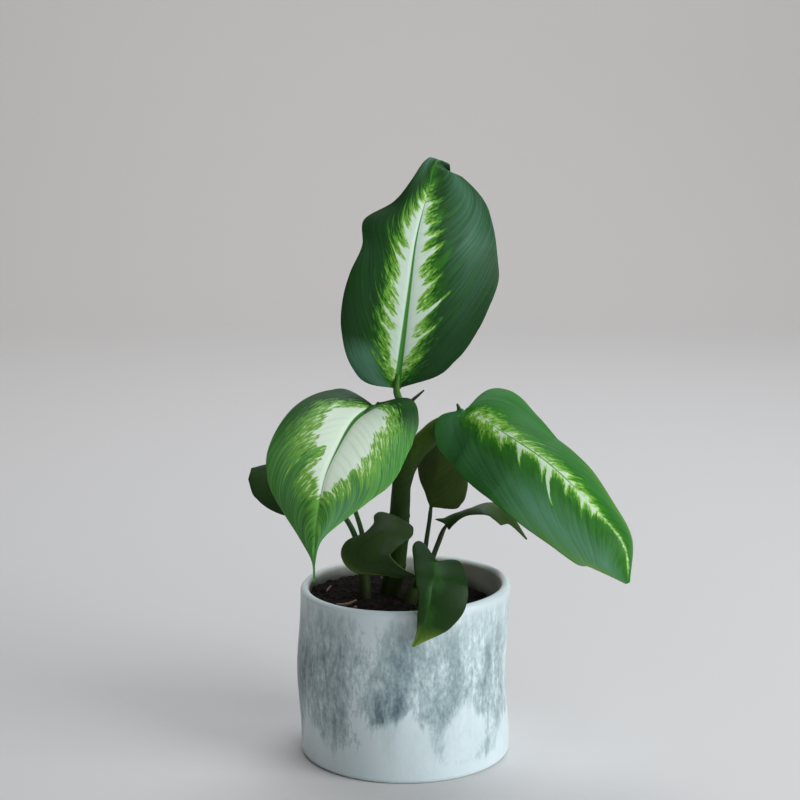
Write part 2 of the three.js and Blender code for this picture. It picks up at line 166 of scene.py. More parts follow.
angle = np.linspace(0, np.pi / 2, 24)
run = np.r_[FLOOR_FRONT, SWEEP_START + SWEEP_RADIUS * np.sin(angle), SWEEP_START + SWEEP_RADIUS]
rise = np.r_[0, SWEEP_RADIUS * (1 - np.cos(angle)), WALL_HEIGHT]
across = np.array([-FLOOR_WIDTH, FLOOR_WIDTH]) / 2
paper = np.stack(np.broadcast_arrays(across, run[:, None], rise[:, None]), -1).reshape(-1, 3) * MM
strips = [(2 * i, 2 * i + 1, 2 * i + 3, 2 * i + 2) for i in range(len(run) - 1)]
floor_mesh = bpy.data.meshes.new("floor")
floor_mesh.from_pydata(paper.tolist(), [], strips)
floor_mesh.polygons.foreach_set("use_smooth", np.ones(len(strips), bool))
floor = show("floor", floor_mesh)
floor_finish, add = material("matt background paper")
shade(add, FLOOR_COLOUR, FLOOR_ROUGHNESS, FLOOR_SPECULAR)
floor_mesh.materials.append(floor_finish)

for name, (place, aim, side, power, colour) in LAMPS.items():
    lamp = bpy.data.lights.new(name, "AREA")
    lamp.size = side * MM
    lamp.energy = power
    lamp.color = linear(colour)[:3]
    holder = show(name, lamp)
    holder.location = Vector(place) * MM
    holder.rotation_euler = (Vector(aim) * MM - holder.location).to_track_quat("-Z", "Y").to_euler()

world = bpy.data.worlds.new("studio")
world.use_nodes = True
background = world.node_tree.nodes["Background"].inputs
background["Color"].default_value = linear(ROOM_COLOUR)
background["Strength"].default_value = ROOM_LIGHT
bpy.context.scene.world = world
bpy.context.scene.view_settings.view_transform = "Standard"
print("lamps:", ", ".join(LAMPS))

# %% [markdown]
# A leaf grows out of a few curves: its midrib in space, its half widths at stations along the midrib, and
# the angles by which the halves fold and curl. The same numbers shape the solids of the model, so the
# finer leaf here lies where the solid is. A midrib is a smooth spline through a few points, read by
# its length.


# %% Draw a smooth line through points
def unit(v):
    """Vectors of length one."""
    return v / np.linalg.norm(v, axis=-1, keepdims=True)


def evenly(values, t):
    """Linear reading at t (0 to 1) of values spread evenly, numbers or vectors."""
    values = np.asarray(values, float)
    places = np.linspace(0, 1, len(values))
    if values.ndim == 1:
        return np.interp(t, places, values)
    return np.stack([np.interp(t, places, values[:, k]) for k in range(values.shape[1])], -1)


def spline(points, count):
    """Centripetal Catmull-Rom curve through the points, as count places at equal steps of length."""
    p = np.asarray(points, float)
    p = np.vstack([2 * p[0] - p[1], p, 2 * p[-1] - p[-2]])
    x = np.linspace(0, 1, 60)[:, None]
    pieces = []
    for p0, p1, p2, p3 in zip(p, p[1:], p[2:], p[3:]):
        d0, d1, d2 = (max(np.sum(d ** 2) ** 0.25, 1e-4) for d in (p1 - p0, p2 - p1, p3 - p2))
        m1 = ((p1 - p0) / d0 - (p2 - p0) / (d0 + d1) + (p2 - p1) / d1) * d1
        m2 = ((p2 - p1) / d1 - (p3 - p1) / (d1 + d2) + (p3 - p2) / d2) * d1
        pieces.append(p1 + m1 * x + (3 * (p2 - p1) - 2 * m1 - m2) * x ** 2
                      + (2 * (p1 - p2) + m1 + m2) * x ** 3)
    line = np.vstack(pieces)
    run = np.r_[0, np.cumsum(np.linalg.norm(np.diff(line, axis=0), axis=1))]
    even = np.linspace(0, run[-1], count)
    return np.stack([np.interp(even, run, line[:, k]) for k in range(3)], -1), run[-1]


line, length = spline([(0, 0, 0), (10, 0, 5), (20, 0, 0)], 5)
print("a test arch is", round(length, 1), "mm long")

# %% [markdown]
# The dimensions of the nine leaves follow, in millimetres and degrees. Three leaves are big and
# variegated. Six are small and plain: they sit low on the side shoots and the cane.

# %% Write down the leaves
# A leaf has its midrib's places, the direction across it, and its stalk's places and radii, in mm. For its
# halves s < 0 and s > 0 it has half widths at the stations, how far the lobe reaches back and the rows sweep
# ahead as shares of the length, and fold and curl in degrees from base to tip. A wave is (side, t, spread,
# height), and a spike is the free tip of the stalk's sheath.
STATIONS = np.array([0, 0.03, 0.1, 0.2, 0.3, 0.4, 0.5, 0.6, 0.7, 0.8, 0.9, 1])
PLAIN_HABIT = {"lobe": (0.06, 0.06), "sweep": (0.1, 0.1), "fold": ((-5, -5), (-5, -5)),
               "curl": ((-20, -20), (-20, -20)), "waves": ()}
LEAVES = {
    "top_leaf": {
        "mid": [(-5, -8, 213), (-2, -16, 237), (2, -23, 270), (6, -20, 299), (12, -8, 322), (16, 3, 336.5),
                (18.5, 8, 339.3), (21.5, 12.5, 335)],
        "side": [(1, 0, 0), (1, 0.25, -0.1)],
        "width": ((2, 13.5, 26.5, 34.5, 36, 34, 29, 30, 17, 11, 6.5, 1.5),
                  (2, 17, 31, 41, 46, 49, 47.5, 45, 40.5, 32.5, 17, 1)),
        "lobe": (0.08, 0.03), "sweep": (0.1, 0.14), "fold": ((10, 5), (10, 9, 8, 7, 6, 5, 5, 5, 5, 8, -60)),
        "curl": ((-20, -40), (-20, -15)),
        "waves": ((-1, 0.4, 0.1, 4), (-1, 0.84, 0.1, 3), (-1, 0.62, 0.1, -4)),
        "petiole": ([(0, 4, 170), (-2, 7, 183), (-3, 5, 196), (-3.6, -2.5, 206), (-5, -8.8, 213),
                     (-4, -11.5, 222)], [3.4, 3, 2.6, 2.3, 2, 0.9]),
    },
    "left_leaf": {
        "mid": [(-17, -20, 206), (-28, -38, 201), (-37, -57, 189), (-43, -72, 177), (-46, -82, 162),
                (-48, -86, 144), (-48.5, -86, 124)],
        "side": [(-0.85, 0.3, 0.3), (-0.95, 0.3, 0.1), (-0.95, 0.1, -0.1)],
        "width": ((2, 12, 24, 35, 37, 37, 33.5, 25, 13.5, 3.8, 0.8, 0.5),
                  (2, 16, 28, 36, 39, 38.5, 34.5, 27.5, 19.5, 9.5, 1.6, 0.5)),
        "lobe": (0.22, 0.12), "sweep": (0.08, 0.08), "fold": ((20, 0), (15, 5)),
        "curl": ((-35, -35), (-35, -35)), "waves": ((-1, 0.03, 0.035, 5.5),),
        "petiole": ([(1, 0, 166), (-3, -1, 178), (-7, -6, 190), (-12, -13, 199), (-17, -20.5, 205),
                     (-22, -29, 203.5)], [5, 4.6, 3.6, 2.8, 2.2, 0.9]),
        "spike": ([(-7, -6, 191), (1, -5, 203), (10.5, -4, 211.7)], [1.6, 1.4, 0.5]),
    },
    "right_leaf": {
        "mid": [(33, -13, 202), (42, -18.5, 199.3), (52, -25, 193.5), (78, -45, 179), (104, -58, 155),
                (118, -62, 137), (121, -60, 116)],
        "side": [(-0.3, -0.4, -0.85), (-0.55, -0.6, -0.5), (-0.6, -0.6, -0.5), (-0.8, -0.5, -0.4)],
        "width": ((2, 13, 26, 25.5, 23.5, 24.5, 24.5, 21.5, 17.5, 13.5, 9, 1.5),
                  (1.5, 8, 26, 33, 36, 37, 36, 33.5, 30.5, 27, 20.5, 2)),
        "lobe": (0.06, 0.19), "sweep": (0.08, 0.08), "fold": ((-10, -15), (-5, -5)),
        "curl": ((-20, -30), (-20, -20)), "waves": ((1, 0.03, 0.14, 3.5),),
        "petiole": ([(-2.6, 0, 152.5), (-1.7, 0, 159), (0.2, 0, 166), (5, 0, 175.3), (12.7, 0, 184),
                     (19, -1, 190.5), (25, -3, 194), (29.5, -7, 197), (33.5, -12, 199), (41, -17.5, 197.8)],
                    [5.2, 5.8, 6, 6.4, 6.6, 6, 4.4, 3, 2.2, 0.9]),
        "spike": ([(28.5, -6, 196), (30, -6.5, 201), (29, -7, 204.5)], [2, 1.4, 0.6]),
    },
    "behind_left_leaf": {
        "mid": [(-48, 30, 139), (-64, 34, 147.5), (-79, 36, 153.5), (-90, 35, 157)],
        "side": [(0, 0.5, 0.8)],
        "width": ((1, 8, 14, 17, 18.5, 19, 19, 18.5, 17.5, 16, 13.5, 6),
                  (1, 6, 11, 14, 15, 14.5, 14, 12.5, 10, 7, 4, 1)),
        "petiole": ([(-24.5, -4, 112), (-28, 2, 124), (-34, 12, 133.2), (-41, 22, 137), (-48, 29.5, 138.2),
                     (-53, 31, 142.3)], [2, 1.8, 1.6, 1.5, 1.3, 0.7]),
    },
    "behind_centre_leaf": {
        "mid": [(15, 25, 137), (18, 31, 155), (22, 30, 174), (26, 22, 189)],
        "side": [(1, -0.4, 0)],
        "width": ((1, 3, 6, 11, 14, 15, 15, 14, 12, 9, 5, 1),
                  (1, 11, 17.5, 19.5, 19, 18, 17, 15, 12, 8, 4, 1)),
        "lobe": (0, 0.08),
        "petiole": ([(11, -7, 106), (11, 4, 112), (12, 11, 119), (14, 20, 130), (15, 25.8, 137),
                     (15.9, 28.5, 142.5)], [1.8, 1.6, 1.4, 1.3, 1.2, 0.7]),
    },
    "behind_right_leaf": {
        "mid": [(23.5, 20, 127.5), (32, 22, 133.5), (46, 28, 137), (60, 34, 131.5), (71.5, 36, 115)],
        "side": [(0.2, -1, 0.15), (0.1, -1, 0.1), (0, -1, -0.4), (0, -1, -0.3)],
        "width": ((1, 6, 6, 6, 8, 9, 9, 8.5, 7, 5, 3, 1), (1, 3.5, 3.5, 4, 10, 14, 14, 11, 8, 6, 3.5, 1)),
        "lobe": (0.15, 0.1), "fold": ((85, 40, 12, 0, -5, -5, -5, -5, -5, -5, -5), (-40, -10, -5, -5)),
        "petiole": ([(13.5, -7, 106), (15.5, 5, 111), (19, 14, 118.2), (23.3, 19.9, 126.5),
                     (26.9, 20.7, 129.2)], [1.8, 1.6, 1.5, 1.5, 0.7]),
    },
    "low_left_leaf": {
        "mid": [(-5, -16, 142), (-12, -28, 135), (-14, -36, 124), (-6, -39, 117), (6, -40, 113.6)],
        "side": [(-1, 0.2, 0.2), (-1, 0, -0.1), (-0.4, 0.3, -0.8)],
        "width": ((1, 8, 13, 14, 12, 9, 7, 5.5, 4.5, 3.5, 2, 1),
                  (1, 8, 13, 10, 12, 21, 22, 11, 6, 4, 2.5, 1)),
        "lobe": (0.08, 0.1), "sweep": (0.05, 0.05),
        "petiole": ([(-7, -1, 100), (-10.5, -8.5, 110), (-11, -11, 122), (-8, -13, 134), (-5.6, -16.4, 141),
                     (-8, -21, 138.2)], [2.2, 2, 1.7, 1.4, 1.2, 0.4]),
    },
    "low_front_leaf": {
        "mid": [(17, -50, 125.5), (15, -62, 118), (13, -68, 107), (9, -69, 94), (4, -66, 82)],
        "side": [(-1, 0, 0)],
        "width": ((1, 8, 14.5, 18.5, 20.5, 20.5, 19.5, 17.5, 15, 11, 6, 1),
                  (1, 7, 14, 12.5, 10, 7.5, 6, 5, 3.5, 2, 1.2, 0.8)),
        "lobe": (0.2, 0.32), "fold": ((-5, -5), (25, 15)),
        "petiole": ([(5.5, -13, 99), (9, -24, 112), (13, -37, 121), (17, -49.4, 124.7), (16, -56, 121)],
                    [2, 1.7, 1.4, 1.3, 0.7]),
    },
    "hidden_left_leaf": {
        "mid": [(-34, 12, 156), (-38, 15, 170), (-43, 18, 183), (-48, 20, 194)],
        "side": [(0.9, 0.2, 0.2)],
        "width": ((1, 6, 10, 13, 14, 13.5, 12, 10.5, 8.5, 6, 3, 1),) * 2,
        "petiole": ([(-24.5, -4, 112), (-24.6, 0, 127), (-28.7, 6, 140), (-32, 10.5, 150), (-34, 12.8, 156),
                     (-35.4, 14.4, 160.5)], [1.8, 1.6, 1.4, 1.3, 1.2, 0.7]),
    },
}
BIG_LEAVES = ("top_leaf", "left_leaf", "right_leaf")
LEAVES = {name: {**PLAIN_HABIT, **design} for name, design in LEAVES.items()}
print(len(LEAVES), "leaves,", len(BIG_LEAVES), "of them big")

# %% [markdown]
# The blade is one sheet: t runs along the midrib from base to tip and s across it, from one margin to the
# other. Near the base the margins reach back in two lobes, so the sheet's rows bow backwards there, and
# everywhere they sweep a little forward, as the side veins do.


# %% Work out a blade
LEAST_HALF_WIDTH = 0.5


def widths(values, t):
    """Cubic through the half widths at the stations, its slope at each taken from both neighbours."""
    v = np.asarray(values, float)
    m = np.gradient(v, STATIONS)
    i = np.clip(np.searchsorted(STATIONS, t, side="right") - 1, 0, len(v) - 2)
    h = STATIONS[i + 1] - STATIONS[i]
    x = (t - STATIONS[i]) / h
    smooth = v[i] * (1 + 2 * x) * (1 - x) ** 2 + v[i + 1] * x ** 2 * (3 - 2 * x)
    smooth = smooth + h * m[i] * x * (1 - x) ** 2 - h * m[i + 1] * x ** 2 * (1 - x)
    return np.maximum(smooth, LEAST_HALF_WIDTH)


def halves(pair, s, read=lambda v: v):
    """Takes the first of a pair where s < 0 and the second where s > 0."""
    return np.where(s > 0, read(pair[1]), read(pair[0]))


def blade_points(leaf, t, s):
    """Middle surface of a blade. The row starts at u = t - lobe (t/0.08) e^(1-t/0.08) |s|^1.6 + sweep
    2 sqrt(t(1-t)) |s|^1.5 (1-t) along the midrib, beyond its ends straight on. Across, each half is an arc
    that starts at the fold angle f and turns by the curl c over its width w: with x = |s|, it goes out by
    (sin(f+cx)-sin f) w/c and up by (cos f-cos(f+cx)) w/c, plus s^2 times the waves. Returns the places,
    the half widths and the length."""
    line, length = spline(leaf["mid"], 201)
    steps = unit(np.gradient(line, axis=0))
    a = np.abs(s)
    w = halves(leaf["width"], s, lambda v: widths(v, t))
    back = halves(leaf["lobe"], s) * (t / 0.08) * np.exp(1 - t / 0.08) * a ** 1.6
    ahead = halves(leaf["sweep"], s) * 2 * np.sqrt(t * (1 - t)) * a ** 1.5 * (1 - t)
    u = t - back + ahead
    on = np.clip(u, 0, 1)
    tangent = unit(evenly(steps, on))
    place = evenly(line, on) + tangent * ((u - on) * length)[..., None]
    across = evenly(leaf["side"], on)
    across = unit(across - np.sum(across * tangent, -1, keepdims=True) * tangent)
    up = np.cross(across, tangent)
    fold = np.radians(halves(leaf["fold"], s, lambda v: evenly(v, t)))
    bend = np.radians(halves(leaf["curl"], s, lambda v: evenly(v, t))) / w
    out = (np.sin(fold + bend * a * w) - np.sin(fold)) / bend
    rise = (np.cos(fold) - np.cos(fold + bend * a * w)) / bend
    for side, at, spread, height in leaf["waves"]:
        rise = rise + np.where(side * s > 0, height * a ** 2 * np.exp(-((t - at) / spread) ** 2), 0)
    return place + across * (np.sign(s) * out)[..., None] + up * rise[..., None], w, length


t, s = np.meshgrid(np.linspace(0, 1, 30), np.linspace(-1, 1, 15), indexing="ij")
for name in BIG_LEAVES:
    places, w, length = blade_points(LEAVES[name], t, s)
    print(name, "is", round(length), "mm long and", round(2 * w.max()), "mm wide at most")

# %% [markdown]
# The side veins of a dieffenbachia leave the midrib at a slant, then run ever more along the leaf. A vein's
# number is therefore a function of t and s, and it serves the relief here and the markings later: the
# leaf swells softly between the veins, dips along each of them, and has a keel under the midrib.

# %% Give a blade its relief and its thickness
BLADE_THICKNESS = 0.7
# Big and small blades, in mm: step of the side veins, depth of their creases, width of the midrib's relief,
# depth of the groove over it and height of the keel under it. Then the rows and columns of the blade's grid
# and the rings and sides of the stalk's.
BIG = {"step": 6.5, "crease": 0.22, "rib": 2.2, "groove": 0.6, "keel": 1.5,
       "grid": (230, 90), "stalk": (90, 32)}
SMALL = {"step": 3.9, "crease": 0.06, "rib": 1.1, "groove": 0.1, "keel": 0.9,
         "grid": (110, 44), "stalk": (50, 16)}


def vein_place(t, s, w, length):
    """Where on the midrib, in mm, the vein through (t, s) starts: length t - 0.7 |s| w - 0.3 length |s|^3."""
    a = np.abs(s)
    return length * t - 0.7 * a * w - 0.3 * length * a ** 3


def creases(t, s, w, length, kind):
    """How much a place lies in a vein's crease, 0 to 1: (1 - |sin|)^3 across the veins, their spacing and
    their strength pulled about by slow sines, fading out at the margin and next to the midrib."""
    a = np.abs(s)
    q = vein_place(t, s, w, length)
    phase = (q / kind["step"] + np.where(s > 0, 0.45, 0) + 0.35 * np.sin(q / 9.7 + 2 * np.sign(s))
             + 0.2 * np.sin(q / 4.1))
    strength = 0.6 + 0.4 * np.sin(q / 13.0 + 1.3 * np.sign(s))
    return (1 - np.abs(np.sin(np.pi * phase))) ** 3 * strength * np.clip(6 * a * (1.02 - a), 0, 1)


def relief(t, s, w, length, kind):
    """Height of the upper face: minus the creases, deeper towards the margin, and minus a groove e^-(v/g)^2
    at v mm from the midrib, whose width g and depth shrink towards the tip."""
    a = np.abs(s)
    depth = kind["crease"] * (0.15 + 0.85 * a)
    groove_width = kind["rib"] * (1 - 0.75 * t)
    groove = kind["groove"] * (1 - 0.6 * t) * np.exp(-(a * w / groove_width) ** 2)
    return -depth * creases(t, s, w, length, kind) - groove


def blade_mesh(leaf, rows, columns, kind):
    """A closed skin: the rows run from base to tip, closer at the base, and each goes across the upper face
    and back across the lower one, closer at the margins, half the thickness times sqrt(1 - s^10) away from
    the middle surface. The upper face takes the relief, and the lower one 0.6 of it and a keel e^-(v/k)^2
    at v mm from the midrib. The normal comes from places a step e to either side."""
    even = np.linspace(-1, 1, columns + 1)
    s_line = np.sin(even * np.pi / 2) * 0.35 + even * 0.65
    ring = np.r_[s_line, s_line[-2:0:-1]]
    face = np.r_[np.ones(columns + 1), -np.ones(columns - 1)]
    t, s = np.meshgrid(np.linspace(0, 1, rows + 1) ** 1.15, ring, indexing="ij")
    middle, w, length = blade_points(leaf, t, s)
    e = 0.004
    along = blade_points(leaf, np.minimum(t + e, 1), s)[0] - blade_points(leaf, np.maximum(t - e, 0), s)[0]
    over = blade_points(leaf, t, np.minimum(s + e, 1))[0] - blade_points(leaf, t, np.maximum(s - e, -1))[0]
    normal = unit(np.cross(over, along))
    a = np.abs(s)
    half = BLADE_THICKNESS / 2 * np.sqrt(1 - a ** 10)
    keel_width = kind["rib"] * (1 - 0.6 * t)
    keel = kind["keel"] * (1 - 0.85 * t) * np.exp(-(a * w / keel_width) ** 2)
    lift = relief(t, s, w, length, kind)
    height = np.where(face > 0, half + lift, -half + lift * 0.6 - keel)
    upper = np.broadcast_to((face > 0) | (a > 0.999), t.shape)
    fields = {"leaf_place": np.stack([t, s, upper], -1),
              "leaf_mm": np.stack([vein_place(t, s, w, length), a * w, creases(t, s, w, length, kind)], -1)}
    return middle + normal * height[..., None], fields


places, fields = blade_mesh(LEAVES["top_leaf"], 40, 20, BIG)
print("a coarse top leaf has", places.shape[0] * places.shape[1], "points")

# %% [markdown]
# Stems are rings of points carried along a spline. The leaf stalk of a dieffenbachia has a shallow
# channel on its upper side, so its rings aren't quite round.


# %% Carry a ring along a line
# The ridge of a leaf scar: its height in mm and its width as a share of the stem's length.
SCAR_HEIGHT, SCAR_WIDTH = 0.35, 0.013


def stem_mesh(path, radii, rings, sides, channel=0.0, grain=0.0, scars=()):
    """Rings of radius r(t) (1 - channel min(1, 5 t) e^-(q/0.5)^2) round the spline, q the angle from the
    upward direction, plus grain times a few sines along and round it for an uneven skin, plus a low ridge,
    its height times e^-((t - p)/width)^2, at each leaf scar p."""
    line, length = spline(path, rings + 1)
    tangent = unit(np.gradient(line, axis=0))
    upwards = np.array([0.02, 0.05, 1.0])
    up = unit(upwards - np.sum(upwards * tangent, -1, keepdims=True) * tangent)
    side = np.cross(tangent, up)
    round_it = np.linspace(-np.pi, np.pi, sides, endpoint=False)
    t, q = np.meshgrid(np.linspace(0, 1, rings + 1), round_it, indexing="ij")
    r = evenly(radii, t) * (1 - channel * np.minimum(1, 5 * t) * np.exp(-(q / 0.5) ** 2))
    r = r + grain * (np.sin(3 * q + 0.11 * t * length) + 0.6 * np.sin(5 * q - 0.23 * t * length))
    r = r + SCAR_HEIGHT * sum(np.exp(-((t - place) / SCAR_WIDTH) ** 2) for place in scars)
    places = (line[:, None] + up[:, None] * (r * np.cos(q))[..., None]
              + side[:, None] * (r * np.sin(q))[..., None])
    return places, {"stem_mm": np.stack([t * length, q * r, t], -1)}


places, fields = stem_mesh(*LEAVES["top_leaf"]["petiole"], 20, 12)
print("a coarse stalk has", places.shape[0] * places.shape[1], "points")

# %% [markdown]
# All these skins are grids that close on themselves one way and end in a small cap the other way. One
# function turns a list of such grids into a piece: it numbers the corners, writes them in one go, and
# keeps the leaf's own coordinates as attributes, which the materials read.


# %% Turn grids into a piece
def grid_faces(rows, ring, start):
    """Corner numbers of a grid closed round its rings: quads between rings, and a fan of triangles at each
    end round a middle point that comes after the grid's own points."""
    i, j = np.meshgrid(np.arange(rows - 1), np.arange(ring), indexing="ij")
    a, b = i * ring + j, i * ring + (j + 1) % ring
    quads = np.stack([a, b, b + ring, a + ring], -1).reshape(-1, 4) + start
    j = np.arange(ring)
    k = (j + 1) % ring
    middle, last = start + rows * ring, start + (rows - 1) * ring
    first_fan = np.stack([np.full(ring, middle), start + k, start + j], -1)
    last_fan = np.stack([np.full(ring, middle + 1), last + j, last + k], -1)
    return quads, np.vstack([first_fan, last_fan])


def piece(name, skins, node):
    """Makes one object of several skins. A skin is (grid of places in mm, attributes, finish)."""
    places, loops, totals, finishes, finish_of, fields = [], [], [], [], [], {}
    start = 0
    for grid, own, finish in skins:
        rows, ring = grid.shape[:2]
        quads, fans = grid_faces(rows, ring, start)
        places += [grid.reshape(-1, 3), [grid[0].mean(0), grid[-1].mean(0)]]
        loops += [quads.ravel(), fans.ravel()]
        totals += [np.full(len(quads), 4), np.full(len(fans), 3)]
        if finish not in finishes:
            finishes.append(finish)
        finish_of.append(np.full(len(quads) + len(fans), finishes.index(finish)))
        for key, values in own.items():
            ends = [values[0].mean(0), values[-1].mean(0)]
            fields.setdefault(key, []).append((start, np.vstack([values.reshape(-1, 3), ends])))
        start += rows * ring + 2
    places = np.vstack(places) * MM
    loops, totals = np.concatenate(loops), np.concatenate(totals)
    mesh = bpy.data.meshes.new(name)
    mesh.vertices.add(len(places))
    mesh.vertices.foreach_set("co", places.ravel())
    mesh.loops.add(len(loops))
    mesh.loops.foreach_set("vertex_index", loops)
    mesh.polygons.add(len(totals))
    mesh.polygons.foreach_set("loop_start", np.r_[0, np.cumsum(totals)[:-1]])
    mesh.polygons.foreach_set("material_index", np.concatenate(finish_of))
    mesh.polygons.foreach_set("use_smooth", np.ones(len(totals), bool))
    mesh.update(calc_edges=True)
    for key, parts in fields.items():
        values = np.zeros((len(places), 3))
        for begin, part in parts:
            values[begin:begin + len(part)] = part
        mesh.attributes.new(key, "FLOAT_VECTOR", "POINT").data.foreach_set("vector", values.ravel())
    for finish in finishes:
        mesh.materials.append(finish)
    made = show(name, mesh)
    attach(made, "root")
    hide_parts(node)
    print(name, "has", int(np.sum(totals - 2)), "triangles")


quads, fans = grid_faces(3, 8, 0)
print("a grid of 3 rings by 8 has", len(quads), "quads and", len(fans), "triangles in its ends")

# %% [markdown]
# The leaf's skin is what the eye goes to. A dieffenbachia leaf is green, waxy and half glossy. On the big
# ones the green is missing along the midrib, where the leaf is creamy white, and comes back in flames that
# follow the side veins, through a speckled yellow green. So the material works with one level in
# millimetres: how far the white reaches at this place, plus the flames, minus the distance from the
# midrib. The reach is written down for each half of each leaf.

# %% Write down the markings
# Per big leaf, for its halves s < 0 and s > 0, stops (t, value) along the midrib: how far the white reaches,
# in mm, below zero where only its fringe is left; how wide the speckled fringe is; how strong the bluish
# wax bloom with its painted sheen is, and how much painted shade darkens the green; and half the width of
# the green rib. Then the height of the flames on either half, in mm, the contrast of the speckles and their
# grain in cells per mm, the white, how strongly the green is striped, and wedges of green that cut into the
# white, or below zero tongues of white that run out, as (side, mm along the midrib, half width, from, to,
# depth).
MARKINGS = {
    "top_leaf": {
        "reach": ([(0, -6), (0.05, -1), (0.1, 3), (0.17, 6), (0.44, 7), (0.53, 5.5), (0.61, 5), (0.7, 2.5),
                   (0.77, -1), (0.84, -6), (0.95, -12)],
                  [(0, -6), (0.05, -2), (0.1, 2), (0.17, 4.5), (0.26, 6.5), (0.35, 5.5), (0.44, 6.5),
                   (0.53, 4), (0.61, 3.5), (0.7, 1.5), (0.77, -1), (0.84, -6), (0.95, -12)]),
        "fringe": ([(0, 6), (0.2, 7), (0.8, 5)], [(0, 5), (0.2, 6.5), (0.8, 5)]),
        "bloom_and_sheen": ([(0, 1.6), (0.13, 1.6), (0.2, 0.1), (0.8, 0.1), (0.9, 0.6)],
                  [(0, 0.1), (0.15, 0.25), (0.35, 0.25), (0.48, 0.4), (0.6, 0.75), (0.85, 0.65), (1, 0.4)]),
        "painted_shade": ([(0, 0), (0.2, 0.2), (0.3, 0.35), (0.8, 0.3), (1, 0)],
                 [(0, 0.8), (0.2, 0.7), (0.4, 0), (1, 0)]),
        "flame": (7, 12), "speckle": 3.8, "grain": 0.7, "white": 0xD3E5D2, "stripe": 0.15,
        "rib": ([(0, 2.2), (0.1, 1.7), (0.5, 0.75), (0.75, 0.2)],) * 2,
        "wedges": [(1, 40, 1.2, 0, 15, -9), (1, 76, 1.4, 0, 14, -8)],
    },
    "left_leaf": {
        "reach": ([(0, -2), (0.04, 4), (0.1, 12), (0.17, 17), (0.35, 17), (0.44, 16), (0.52, 11), (0.6, 2),
                   (0.66, -6), (0.72, -12)],
                  [(0, -6), (0.05, 1), (0.1, 6), (0.17, 15), (0.26, 15), (0.35, 13), (0.42, 7), (0.56, 5),
                   (0.62, 0), (0.66, -6), (0.72, -12)]),
        "fringe": ([(0, 3), (0.1, 4), (0.2, 13), (0.5, 14), (0.62, 8), (0.72, 3)],
                   [(0, 3), (0.12, 5), (0.2, 9), (0.3, 17), (0.4, 15), (0.6, 9), (0.72, 3)]),
        "bloom_and_sheen": ([(0, 0.3), (0.55, 0.4), (0.65, 0.9), (0.9, 0.9), (1, 0.4)],
                  [(0, 0.6), (0.2, 0.5), (0.3, 0.3), (0.6, 0.45), (1, 0.4)]),
        "painted_shade": ([(0, 0.95), (0.1, 0.8), (0.2, 0)], [(0, 1), (0.15, 0.85), (0.3, 0.4), (0.4, 0)]),
        "flame": (5, 6), "speckle": 6, "grain": 0.6, "white": 0xEBFBE3, "stripe": 0.75,
        "rib": ([(0, 1.6), (0.1, 1.4), (0.3, 0.8), (0.55, 0.2)],) * 2,
        "wedges": [(1, 44, 4, 5, 22, 20), (-1, 49, 3, 12, 24, 20)],
    },
    "right_leaf": {
        "reach": ([(0, -12), (0.03, -2), (0.07, 0.4), (0.3, 0.2), (0.45, 0.9), (0.6, 0.4), (0.72, 0),
                   (0.95, 0.1), (1, -2)],
                  [(0, -12), (0.03, -2), (0.07, 0.2), (0.3, 0.4), (0.45, 1.1), (0.66, 0.4), (0.74, 0),
                   (0.95, 0.1), (1, -2)]),
        "fringe": ([(0, 4), (0.12, 7), (0.2, 6), (0.6, 4.5), (0.72, 1.2), (1, 0.8)],
                   [(0, 5), (0.16, 7), (0.3, 3.5), (0.66, 3.5), (0.75, 1), (1, 0.8)]),
        "bloom_and_sheen": ([(0, 0.3), (0.3, 0.1), (1, 0.2)],
                  [(0, 0.6), (0.15, 0.4), (0.3, 0.4), (0.5, 1), (0.9, 1), (1, 0.3)]),
        "painted_shade": ([(0, 0), (1, 0)], [(0, 0), (0.2, 0.2), (0.35, 0.1), (0.6, 0)]),
        "flame": (4, 13), "speckle": 3.2, "grain": 0.8, "white": 0xC9E0BF, "stripe": 0.35,
        "rib": ([(0, 0), (0.3, 0.45), (0.5, 0.4), (0.62, 0)],) * 2,
        "wedges": [(1, 60, 1.4, 0, 16, -13)],
    },
}
# The least and the most that a stop can say, because a ramp's colours hold only 0 to 1.
LOW, HIGH = -12, 20
# PAINTED_SHADE_GREEN is the green of painted shade, in the veins' creases and where a leaf lies in shade.
PALE, YELLOW_GREEN, PAINTED_SHADE_GREEN, MIDRIB_GREEN = 0xC2E6A0, 0x76AC3C, 0x173A17, 0x478A38
# BLOOM_AND_SHEEN is the leaves' bluish wax bloom, and it also carries painted sheen.
BLOOM_AND_SHEEN, UNDERSIDE, LIME = 0x5C8A72, 0x47683A, 0x86A83C

# Greens of every leaf: near the midrib or the white, between, and towards the margin.
GREENS = {
    "top_leaf": (0x3C7E25, 0x1C4612, 0x13330E), "left_leaf": (0x72B24E, 0x2F6E28, 0x3E8434),
    "right_leaf": (0x37801F, 0x2C6820, 0x387A2E), "low_left_leaf": (0x344C24, 0x304421, 0x384E26),
    "low_front_leaf": (0x275218, 0x1A360E, 0x1E3812), "behind_left_leaf": (0x324F25, 0x2C4620, 0x243A1B),
    "hidden_left_leaf": (0x324F25, 0x2C4620, 0x243A1B), "behind_centre_leaf": (0x4C5E2A, 0x425426, 0x364620),
    "behind_right_leaf": (0x34501F, 0x2E461B, 0x263C18),
}
# Where a leaf turns yellow-green: from which t and |s| on, with |s| below zero where the midrib turns too,
# and how much.
RIMS = {"low_left_leaf": (0.4, 0.8, 0.9), "low_front_leaf": (0.7, -0.6, 0.9), "right_leaf": (0.35, 0.6, 0.8),
        "left_leaf": (0.3, 0.8, 0.3)}
widest = max(mm for marks in MARKINGS.values() for side in marks["reach"] for _, mm in side)
print("the white reaches up to", widest, "mm from the midrib, before its flames")

